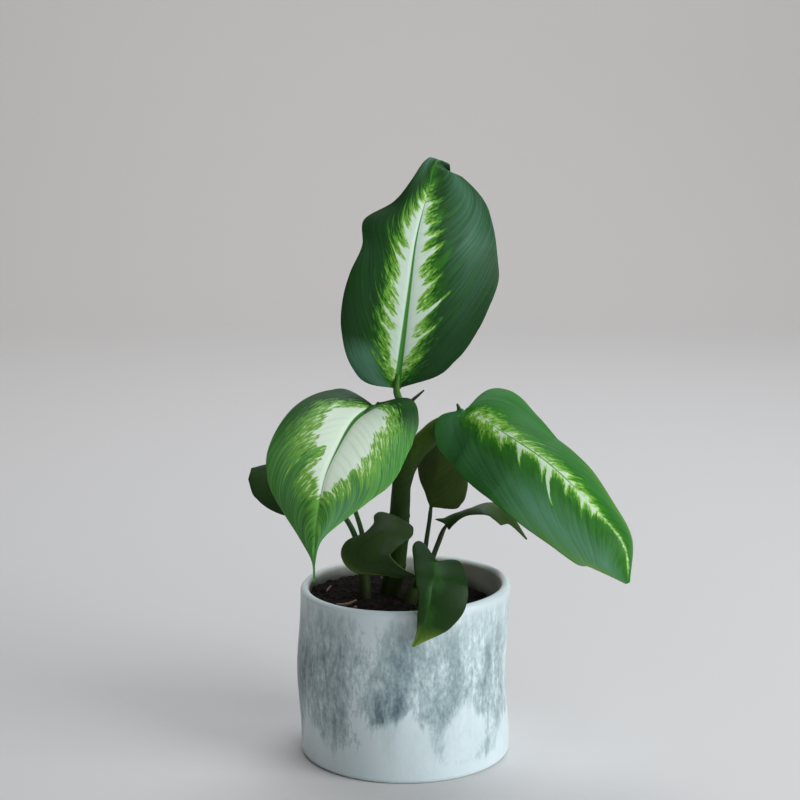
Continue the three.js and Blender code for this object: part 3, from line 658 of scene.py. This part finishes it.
# %% [markdown]
# The flames are a one-dimensional cell pattern along the midrib, one tooth in each cell with its own height.
# Noise that is drawn out along the veins frays every edge, and another speckles the fringe. All of it reads
# the leaf's own coordinates, so it lies on the leaf like its veins.


# %% Lay the markings over the green
# Millimetres between flames and from one half's patterns to the other's, then the noises' cells per
# millimetre: frayed edges, clumps of speckles, stripes between the veins and broad clouds.
FLAME_STEP, HALF_SHIFT = 10, 400
FRAY, CLUMP, STRIPE, CLOUD = 0.6, 0.27, 0.5, 0.07


def by_side(add, at, sides):
    """A value along the leaf, from its stops on the half s < 0 and on the half s > 0."""
    ramps = [add("ValToRGB", at.t, stops=[(t, (value - LOW) / (HIGH - LOW)) for t, value in stops])
             for stops in sides]
    return add("MapRange", add("MixRGB", at.half, *ramps), 0, 1, LOW, HIGH)


def flames(add, at, reach, fringe, heights):
    """Teeth of white in mm, one in each cell along the midrib: (1 - d/0.4)^2 at d cells from its point,
    times the cell's own share of the height, and lower where the white or its fringe is narrow."""
    cells = add("TexVoronoi", W=at.lane, Scale=1 / FLAME_STEP, voronoi_dimensions="1D", out=None)
    tooth = add("Math.POWER", add("MapRange", cells["Distance"], 0, 0.4, 1, 0), 2)
    for factor in (add("SeparateColor", cells["Color"]), add("MapRange", reach, -6, 2),
                   add("MapRange", fringe, 1, 3.5), add("MapRange", at.half, 0, 1, *heights)):
        tooth = add("Math.MULTIPLY", tooth, factor)
    return tooth


def wedge(add, at, clumps, side, begins, half_width, low, high, depth):
    """One wedge in mm: its depth next to its vein, on its side and from low to high mm away from the midrib,
    fading to nothing across an edge that the clumps pull about."""
    aside = add("Math.ABSOLUTE", add("Math.SUBTRACT", at.vein, begins))
    aside = add("Math.MULTIPLY_ADD", clumps, 3.5 * half_width, aside)
    cut = add("MapRange", aside, 0.4 * half_width, 1.6 * half_width, depth, 0)
    this_half = add("Math.GREATER_THAN" if side > 0 else "Math.LESS_THAN", at.s, 0)
    for factor in (add("MapRange", at.away, low, low + 4, 0, this_half),
                   add("MapRange", at.away, high, high + 6, 1, 0)):
        cut = add("Math.MULTIPLY", cut, factor)
    return cut


def under_bloom_and_sheen(add, at, green, near, stripe, bloom_and_sheen):
    """The green under paler stripes between the veins and under a bluish wax bloom with painted sheen =
    (0.6 stripes + 0.4 clouds) x |s|, which thins towards the margin."""
    long_way = add("CombineXYZ", at.lane, add("Math.MULTIPLY", at.away, 0.12))
    stripes = add("TexNoise", long_way, Scale=STRIPE, Detail=3, Roughness=0.6)
    wax_and_sheen = add("Math.MULTIPLY_ADD", stripes, 0.6, add("Math.MULTIPLY", at.clouds, 0.4))
    for factor in (at.share, add("MapRange", at.share, 0.65, 0.95, 1, 0.45)):
        wax_and_sheen = add("Math.MULTIPLY", wax_and_sheen, factor)
    # Painted sheen: this bluish wax also stands in for the leaf's reflections.
    wax_and_sheen = add("Math.MULTIPLY", add("MapRange", wax_and_sheen, 0.14, 0.36), bloom_and_sheen)
    stripes = add("MapRange", stripes, 0.4, 0.65, 0, stripe)
    return add("MixRGB", stripes, add("MixRGB", wax_and_sheen, green, BLOOM_AND_SHEEN), near)


def variegate(add, at, marks, green, near):
    """Lays the markings over the green. Level = reach + flames - distance - a fade at the margin - wedges +
    fray, in mm: white above 0, and below it the fringe's colour follows level / fringe, broken up by
    speckles, down to the green with its wax bloom, painted sheen and painted shade. The rib lies over all."""
    reach, fringe, bloom_and_sheen, painted_shade, rib = (by_side(add, at, marks[key]) for key in
                                       ("reach", "fringe", "bloom_and_sheen", "painted_shade", "rib"))
    clumps = add("Math.SUBTRACT", add("TexNoise", at.drawn, Scale=CLUMP, Detail=1), 0.5)
    level = add("Math.ADD", reach, flames(add, at, reach, fringe, marks["flame"]))
    for less in (at.away, add("MapRange", at.share, 0.6, 0.92, 0, fringe),
                 *(wedge(add, at, clumps, *design) for design in marks["wedges"])):
        level = add("Math.SUBTRACT", level, less)
    rough = add("Math.MULTIPLY", add("Math.SUBTRACT", at.fray, 0.5), 1.1)
    rough = add("Math.MULTIPLY_ADD", clumps, 1.5, rough)
    level = add("Math.MULTIPLY_ADD", rough, add("Math.MINIMUM", fringe, 7), level)
    speckle = add("TexNoise", at.drawn, Scale=marks["grain"], Detail=3, Roughness=0.65)
    speckle = add("Math.SUBTRACT", speckle, 0.5)
    tint = add("Math.MULTIPLY_ADD", speckle, marks["speckle"], add("Math.DIVIDE", level, fringe))
    rib = add("Math.SUBTRACT", rib, at.away)
    colour = under_bloom_and_sheen(add, at, green, near, marks["stripe"], bloom_and_sheen)
    # Painted shade: the green darkens where the leaf lies in shade.
    colour = add("MixRGB", painted_shade, colour, PAINTED_SHADE_GREEN)
    layers = ((tint, -1.7, -0.6, near), (tint, -1.1, -0.3, YELLOW_GREEN), (tint, -0.4, 0.4, PALE),
              (level, -0.8, 1.6, marks["white"]), (rib, -0.25, 0.35, MIDRIB_GREEN))
    for measure, low, high, next_colour in layers:
        colour = add("MixRGB", add("MapRange", measure, low, high, **SMOOTH), colour, next_colour)
    return colour


print("frayed edges are", round(1 / FRAY, 1), "mm fine, and clouds", round(1 / CLOUD), "mm wide")

# %% [markdown]
# A leaf's finish first reads the leaf's own coordinates and what the patterns share. Plain leaves only have
# their greens and the painted shade in their creases, and the big ones the markings as well.


# %% Mix the leaf finishes
def leaf_places(add):
    """The blade's own coordinates and what is made from them: |s| as share, the half, and lane, the vein's
    place, further on for one half so that the halves differ. Noise on drawn is twice as long away from the
    midrib as along it."""
    vein, away, crease = add("SeparateXYZ", add("Attribute", attribute_name="leaf_mm", out=1), out=None)
    t, s, upper = add("SeparateXYZ", add("Attribute", attribute_name="leaf_place", out=1), out=None)
    half = add("Math.GREATER_THAN", s, 0)
    lane = add("Math.MULTIPLY_ADD", half, HALF_SHIFT, vein)
    drawn = add("CombineXYZ", lane, add("Math.MULTIPLY", away, 0.5))
    return SimpleNamespace(
        t=t, s=s, upper=upper, vein=vein, away=away, crease=crease, half=half, lane=lane, drawn=drawn,
        share=add("Math.ABSOLUTE", s), fray=add("TexNoise", drawn, Scale=FRAY, Detail=4, Roughness=0.6),
        clouds=add("TexNoise", add("CombineXYZ", lane, away), Scale=CLOUD, Detail=2))


def leaf_finish(name):
    """Waxy leaf skin: three greens by depth = 0.9 clouds + 0.45 |s|, a yellow-green rim, painted shade in the
    creases, the markings, through which that painted shade still shows a little, and a duller, greyer
    underside. Half glossy, with a sheen broken by the fray noise."""
    made, add = material(("variegated" if name in MARKINGS else "plain") + " leaf skin, " + name)
    at = leaf_places(add)
    depth = add("Math.MULTIPLY_ADD", at.clouds, 0.9, add("Math.MULTIPLY", at.share, 0.45))
    near, middle, margin = GREENS[name]
    colour = add("ValToRGB", depth, stops=[(0.35, near), (0.6, middle), (0.95, margin)])
    if name in RIMS:
        along, across, strength = RIMS[name]
        lime = add("MapRange", at.share, across, 1, 0, add("MapRange", at.t, along, 1), **SMOOTH)
        colour = add("MixRGB", add("Math.MULTIPLY", lime, strength), colour, LIME)
    # Painted shade in the veins' creases.
    colour = add("MixRGB", add("Math.MULTIPLY", at.crease, 0.5), colour, PAINTED_SHADE_GREEN)
    if name in MARKINGS:
        colour = variegate(add, at, MARKINGS[name], colour, near)
        # The painted shade in the creases shows through the markings a little.
        colour = add("MixRGB", add("Math.MULTIPLY", at.crease, 0.2), colour, PAINTED_SHADE_GREEN)
    colour = add("MixRGB", at.upper, add("MixRGB", 0.5, colour, UNDERSIDE), colour)
    shade(add, colour, add("MapRange", at.fray, 0.3, 0.7, 0.34, 0.48), 0.13, at.fray, 0.3, 0.3)
    return made


finishes = {name: leaf_finish(name) for name in LEAVES}
print(len(finishes), "leaf finishes")

# %% [markdown]
# Stalks and shoots have a smooth green skin, and the old cane turns brown and corky towards the soil.
# Low down, painted shade darkens the cane and the shoots further.


# %% Mix the stem finishes
# Flecks on a stem, in cells per millimetre, and their dark green.
FLECK, FLECK_GREEN = 0.35, 0x1C2413


def stem_finish(name, low, high, turn, rough):
    """Stem skin: its colour goes from low to high as the height, plus up to 50 mm of noise, climbs from turn
    to 40 mm above it, and darker flecks about 3 mm wide lie over it."""
    made, add = material(name)
    height = add("SeparateXYZ", add("TexCoord", out=3), out=2)
    flecks = add("TexNoise", add("Attribute", attribute_name="stem_mm", out=1),
                 Scale=FLECK, Detail=4, Roughness=0.6)
    wobble = add("Math.MULTIPLY_ADD", flecks, 50 * MM, height)
    colour = add("MixRGB", add("MapRange", wobble, turn * MM, (turn + 40) * MM), low, high)
    colour = add("MixRGB", add("MapRange", flecks, 0.35, 0.75, 0, 0.45), colour, FLECK_GREEN)
    shade(add, colour, rough, 0.14, flecks, 0.4, 0.5)
    return made


shaded_finish = stem_finish("shaded stalk skin", 0x25361B, 0x2C4020, 120, 0.5)
stalk_finishes = {
    "right_leaf": stem_finish("sheath skin", 0x2A4412, 0x547426, 186, 0.5),
    "top_leaf": stem_finish("top stalk skin", 0x3C5A2C, 0x578A3A, 205, 0.45),
    "behind_centre_leaf": shaded_finish, "behind_right_leaf": shaded_finish,
}
tip_finishes = {"left_leaf": shaded_finish}
thin_finish = stem_finish("leaf stalk skin", 0x3C5A2C, 0x437036, 120, 0.45)
# The cane's low brown is bark darkened by painted shade. The shoots' dark low colour is painted shade.
cane_finish = stem_finish("cane bark", 0x231D16, 0x2A4412, 100, 0.5)
shoot_finish = stem_finish("shoot skin", 0x26261A, 0x48582A, 100, 0.55)
print("stem finishes mixed")

# %% [markdown]
# Now the leaves are put together: blade, stalk and, on two of them, the free tip of the sheath.

# %% Build the leaves
STALK_CHANNEL = 0.12
for name, leaf in LEAVES.items():
    big = name in BIG_LEAVES
    kind = BIG if big else SMALL
    finish = stalk_finishes.get(name, thin_finish)
    skins = [(*blade_mesh(leaf, *kind["grid"], kind), finishes[name]),
             (*stem_mesh(*leaf["petiole"], *kind["stalk"], channel=STALK_CHANNEL), finish)]
    if "spike" in leaf:
        skins.append((*stem_mesh(*leaf["spike"], 24, 14), tip_finishes.get(name, finish)))
    piece(name + "_skin", skins, name)

# %% [markdown]
# The cane and the two shoots are stems too. Low ridges ring the cane where old leaves came off, and its bark
# runs a little up into the sheath of the right leaf, which wraps it on the real plant.

# %% Build the cane and the shoots
CANE = ([(-9.5, 0, 64), (-9, 0, 90), (-6, 0, 108), (-4, 0, 124), (-3, 0, 144), (-2.2, 0, 156)],
        [6.4, 6.35, 6.3, 6.2, 6.1, 6, 5.9, 5.8, 5.7, 5.6, 5.25])
SHOOTS = {
    "left_shoot": ([(-24, -8, 64), (-23, -8, 90), (-23.5, -6, 104), (-24.5, -4, 114)], [3.9, 3.8, 3.6, 3]),
    "right_shoot": ([(1, -14, 64), (2, -14, 88), (6, -12, 100), (12, -8, 108)], [4.5, 4.4, 4, 3.2]),
}
CANE_SCARS = (0.5, 0.66, 0.81)
skin = (*stem_mesh(*CANE, 240, 40, grain=0.06, scars=CANE_SCARS), cane_finish)
piece("cane_bark", [skin], "main_cane")
for node, design in SHOOTS.items():
    skin = (*stem_mesh(*design, 60, 28, grain=0.04), shoot_finish)
    piece(node + "_skin", [skin], node)

# %% [markdown]
# The pot is thrown stoneware with a milky glaze. Its profile turns round the axis, but the hand shows: the
# rim climbs to the right and the belly leans to the left.

# %% Turn the pot
POT_RADIUS, POT_HEIGHT, POT_WALL, POT_FLOOR, POT_CORNER = 60, 99.2, 5, 7, 3
POT_CLIMB, POT_LEAN = 1.5, 2.3
SOIL_EDGE, SOIL_SLOPE = 87, 0.1
POT_SIDES, CAP_RADIUS = 256, 2


def thrown(places):
    """Leans the belly by -lean sin(pi z/H)^3 along X and lifts the rim by climb (x/R) (z/H)^2."""
    x, y, z = places[..., 0], places[..., 1], places[..., 2]
    share = z / POT_HEIGHT
    return np.stack([x - POT_LEAN * np.sin(np.pi * np.clip(share, 0, 1)) ** 3, y,
                     z + POT_CLIMB * x / POT_RADIUS * share ** 2], -1)


def arc(radius, height, r, start, end, count):
    """Points [radius, height] of a circular arc in the profile, angles in degrees."""
    angle = np.radians(np.linspace(start, end, count))
    return np.stack([radius + r * np.cos(angle), height + r * np.sin(angle)], -1)


def upright(radius, low, high, count):
    """Straight run of the profile up or down at one radius."""
    return np.stack([np.full(count, float(radius)), np.linspace(low, high, count)], -1)


def turned(profile, sides):
    """The profile's points [radius, height] carried round the axis."""
    q = np.linspace(0, 2 * np.pi, sides, endpoint=False)
    r, z = profile[:, :1], profile[:, 1:]
    return np.stack([r * np.cos(q), r * np.sin(q), np.broadcast_to(z, (len(profile), sides))], -1)


rim = POT_WALL / 2
profile = np.vstack([
    [[CAP_RADIUS, 0], [POT_RADIUS / 2, 0]],
    arc(POT_RADIUS - POT_CORNER, POT_CORNER, POT_CORNER, -90, 0, 9),
    upright(POT_RADIUS, POT_CORNER + 1, POT_HEIGHT - rim - 1, 60),
    arc(POT_RADIUS - rim, POT_HEIGHT - rim, rim, 0, 180, 17),
    upright(POT_RADIUS - POT_WALL, POT_HEIGHT - rim - 1, POT_FLOOR + POT_CORNER, 40),
    arc(POT_RADIUS - POT_WALL - POT_CORNER, POT_FLOOR + POT_CORNER, POT_CORNER, 0, -90, 9)[1:],
    [[POT_RADIUS / 2, POT_FLOOR], [CAP_RADIUS, POT_FLOOR]],
])
pot_grid = thrown(turned(profile, POT_SIDES))
print("the pot is", round(float(np.ptp(pot_grid[..., 0])), 1), "mm across")

# %% [markdown]
# The glaze is a milky one over a grey-blue one, and both have run: dashes a few millimetres wide hang down
# the wall, densest in its middle and where the blue one pooled, and clean milky domes stand up from the
# foot. Noise that is squeezed along Z gives the dashes. Pools and domes are soft balls around points of the
# wall, those in front placed as the photograph shows them. Two pools on the left side are painted shade
# there. Inside, the wall darkens towards the soil.


# %% Mix the glaze
# Cells per millimetre across the dashes and the blotches, and the factors on Z that draw them out.
LONG_DASH, SHORT_DASH, BLOTCH = 0.21, 0.6, 0.036
LONG_SQUEEZE, SHORT_SQUEEZE, BLOTCH_SQUEEZE = 0.3, 0.5, 0.6
# Pools of the blue glaze: angle round the pot in degrees, height and reach in mm, and how much each adds,
# below zero where it takes away.
# The pools at -160 and -177 degrees, on the left side, are painted shade drawn as pools of blue glaze.
POOLS = ((-101, 42, 18, 0.6), (-94, 72, 15, 0.3), (-126, 48, 24, -0.17), (-38, 62, 16, -0.08),
         (-60, 52, 16, 0.25), (-63, 72, 16, 0.3), (-160, 58, 26, 0.2), (-177, 50, 42, 0.5), (20, 55, 22, 0.4),
         (68, 62, 20, 0.3), (110, 48, 20, 0.45), (165, 60, 22, 0.35))
# Milky domes: angle, height of the middle and radius in mm. Below FOOT the wall is milky all round.
DOMES = ((-56, 25, 18), (-91, 17, 21), (-16, 12, 18), (-124, 2, 16), (-154, 7, 19), (20, 17, 19),
         (55, 10, 17), (95, 20, 20), (130, 9, 18), (168, 16, 19))
FOOT = 13
# How much blue each height has, as a share of 100 mm, and the glaze's colour by its share of blue.
BAND = [(0.0, 0.5), (0.2, 0.8), (0.35, 1.0), (0.66, 1.0), (0.84, 0.7), (0.93, 0.4), (0.97, 0.0)]
GLAZES = [(0.0, 0xE0EEF0), (0.12, 0xC9DADB), (0.4, 0xA3B7B9), (0.7, 0x7B9095), (1.0, 0x54686F)]
INNER_GLAZE, NEAR_SOIL_DARK = 0xEEF2E6, 0x2E2821


def on_wall(turn, height):
    """Point of the pot's wall in metres, from its angle in degrees and its height in mm."""
    angle = np.radians(turn)
    return POT_RADIUS * MM * np.cos(angle), POT_RADIUS * MM * np.sin(angle), height * MM


def outside_domes(add, where, height, blotches, dashes):
    """How blue the wall may be: from 0.12 inside a dome or below the foot's height to 1 outside, by the
    distance from the nearest dome's edge plus noise."""
    clear = add("Math.SUBTRACT", height, FOOT * MM)
    for turn, rise, radius in DOMES:
        far = add("VectorMath.DISTANCE", where, on_wall(turn, rise), out=1)
        clear = add("Math.MINIMUM", clear, add("Math.SUBTRACT", far, radius * MM))
    uneven = add("Math.MULTIPLY_ADD", blotches, 20 * MM, -15 * MM)
    uneven = add("Math.MULTIPLY_ADD", dashes, 10 * MM, uneven)
    return add("MapRange", add("Math.ADD", clear, uneven), -4 * MM, 3.5 * MM, 0.12, 1, **SMOOTH)


def inner_colour(add, aside, height, blotches):
    """Plain glaze, darker towards the soil, fading out 7 mm above the soil's edge, which slopes with x."""
    edge = add("Math.MULTIPLY_ADD", aside, SOIL_SLOPE, height)
    darkening = add("Math.MULTIPLY_ADD", blotches, 6 * MM, edge)
    darkening = add("MapRange", darkening, (SOIL_EDGE + 3) * MM, (SOIL_EDGE + 10) * MM, 0.8, 0)
    return add("MixRGB", darkening, INNER_GLAZE, NEAR_SOIL_DARK)


def glaze_finish():
    """Glazed stoneware, glossy and hard: blue = (blotches + dashes + pools) x band x outside the domes. The
    inner colour begins where the rim turns down."""
    made, add = material("run ceramic glaze")
    where = add("TexCoord", out=3)
    aside, _, height = add("SeparateXYZ", where, out=None)
    long_place = add("Mapping", where, Scale=(1, 1, LONG_SQUEEZE))
    short_place = add("Mapping", where, Scale=(1, 1, SHORT_SQUEEZE), Location=(0.3, 0.1, 0))
    wide_place = add("Mapping", where, Scale=(1, 1, BLOTCH_SQUEEZE))
    long_dashes = add("TexNoise", long_place, Scale=LONG_DASH / MM, Detail=3, Distortion=0.8)
    short_dashes = add("TexNoise", short_place, Scale=SHORT_DASH / MM, Detail=3, Roughness=0.65)
    blotches = add("TexNoise", wide_place, Scale=BLOTCH / MM, Detail=3, Roughness=0.55)
    amount = -1.82
    for noise, weight in ((blotches, 2.0), (long_dashes, 1.05), (short_dashes, 0.95)):
        amount = add("Math.MULTIPLY_ADD", noise, weight, amount)
    for turn, rise, reach, more in POOLS:
        far = add("VectorMath.DISTANCE", wide_place, on_wall(turn, BLOTCH_SQUEEZE * rise), out=1)
        pool = add("MapRange", far, 0, reach * MM, more, 0, **SMOOTH)
        amount = add("Math.ADD", amount, pool)
    band = add("ValToRGB", add("MapRange", height, 0, 100 * MM), stops=BAND)
    for factor in (band, outside_domes(add, where, height, blotches, long_dashes)):
        amount = add("Math.MULTIPLY", amount, factor)
    radius = add("VectorMath.LENGTH", add("Mapping", where, Scale=(1, 1, 0)), out=1)
    inside = add("MapRange", radius, (POT_RADIUS - 4.2) * MM, (POT_RADIUS - 2.8) * MM, 1, 0)
    colour = add("ValToRGB", amount, stops=GLAZES)
    colour = add("MixRGB", inside, colour, inner_colour(add, aside, height, blotches))
    shade(add, colour, 0.3, 0.35, amount, 0.25, 0.8)
    return made


piece("pot_glaze", [(pot_grid, {}, glaze_finish())], "pot")

# %% [markdown]
# Potting soil is a heap of crumbs. Its top is a height field: a low mound that lies higher on the left, lumps
# a centimetre across and crumbs of a few millimetres. A few pale bits of bark lie in it, as short bent rods.

# %% Lay the soil
SOIL_MIDDLE, SOIL_LUMP, SOIL_SIDES, GAP = 91.5, 0.9, 480, 0.3


def crumbs(x, y):
    """Sum of sharp-crested sines in turned directions, each octave 1.75 times as fine and 0.55 as high."""
    height = np.zeros_like(x)
    for octave in range(4):
        turn = 1.1 + 2.4 * octave
        k = 0.5 * 1.75 ** octave
        u = x * np.cos(turn) + y * np.sin(turn)
        v = -x * np.sin(turn) + y * np.cos(turn)
        crest = np.abs(np.sin(k * u + 1.7 * np.sin(0.6 * k * v))) * np.abs(np.cos(k * v))
        height += 0.55 ** octave * (1 - crest)
    return height


def soil_top(x, y):
    """Tilted mound plus lumps, as in the solid, plus about 1 mm of crumbs."""
    share = np.hypot(x, y) / (POT_RADIUS - POT_WALL)
    mound = SOIL_EDGE + (SOIL_MIDDLE - SOIL_EDGE) * (1 - share ** 2) - SOIL_SLOPE * x
    lumps = (np.sin(0.31 * x + 1.3) * np.cos(0.27 * y - 0.4) + 0.7 * np.sin(0.55 * y + 0.21 * x)
             + 0.5 * np.cos(0.63 * x - 0.48 * y + 2))
    return mound + SOIL_LUMP * lumps * (1 - 0.5 * share ** 4) + 1.1 * (crumbs(x, y) - 1.1)


outer = POT_RADIUS - POT_WALL - GAP
low = POT_FLOOR + GAP
profile = np.vstack([[[CAP_RADIUS, low], [40, low]], upright(outer, low + POT_CORNER, SOIL_EDGE - 8, 8),
                     np.stack([np.linspace(outer, 1, 150), np.full(150, float(SOIL_EDGE))], -1)])
soil_grid = turned(profile, SOIL_SIDES)
height = soil_grid[..., 2]
height[:] = np.where(height >= SOIL_EDGE, soil_top(soil_grid[..., 0], soil_grid[..., 1]), height)
print("the soil's top is up to", round(float(height.max()), 1), "mm high")

# %% [markdown]
# Wet peat is nearly black with brown fibres in it, and it swallows light. Its finest crumbs are too many to
# model, so a noise of about their size gives both the colour and the bump. The bits of bark are short stems
# in shape, and take the stem finish in a pale brown.


# %% Mix the soil and its bits, and put them in
# Cells of the crumbs' noise per millimetre.
CRUMB = 0.42
# Bits of bark: place x, y, direction in degrees, length and radius in mm.
BITS = [(-33, -22, 20, 12, 0.9), (-28, -30, 100, 5, 1.1), (30, 28, 160, 9, 1.0), (20, 38, 60, 6, 1.2),
        (-12, 34, 140, 6, 0.9), (38, -6, 80, 6, 1.0), (-44, 6, 70, 7, 0.8), (16, -30, 30, 5, 0.9)]


def soil_finish():
    """Dark peat with brown crumbs, dull and rough."""
    made, add = material("potting soil")
    grain = add("TexNoise", add("TexCoord", out=3), Scale=CRUMB / MM, Detail=6, Roughness=0.7)
    colour = add("ValToRGB", grain, stops=[(0.3, 0x100C0A), (0.6, 0x211914), (0.8, 0x3A2C24)])
    shade(add, colour, 0.95, 0.2, grain, 0.8, 1.5)
    return made


bark_finish = stem_finish("bark bits", 0x8F7767, 0x9C8474, 80, 0.9)
skins = [(thrown(soil_grid), {}, soil_finish())]
for x, y, turn, size, radius in BITS:
    step = np.array([np.cos(np.radians(turn)), np.sin(np.radians(turn))]) * size / 2
    ends = [np.array([x, y]) + k * step for k in (-1, 0, 1)]
    path = [(*end, soil_top(*end) + 0.5 + 0.3 * k) for k, end in enumerate(ends)]
    skins.append((*stem_mesh(path, [radius * 0.6, radius, radius * 0.5], 12, 8, grain=0.1), bark_finish))
piece("soil_top", skins, "soil")
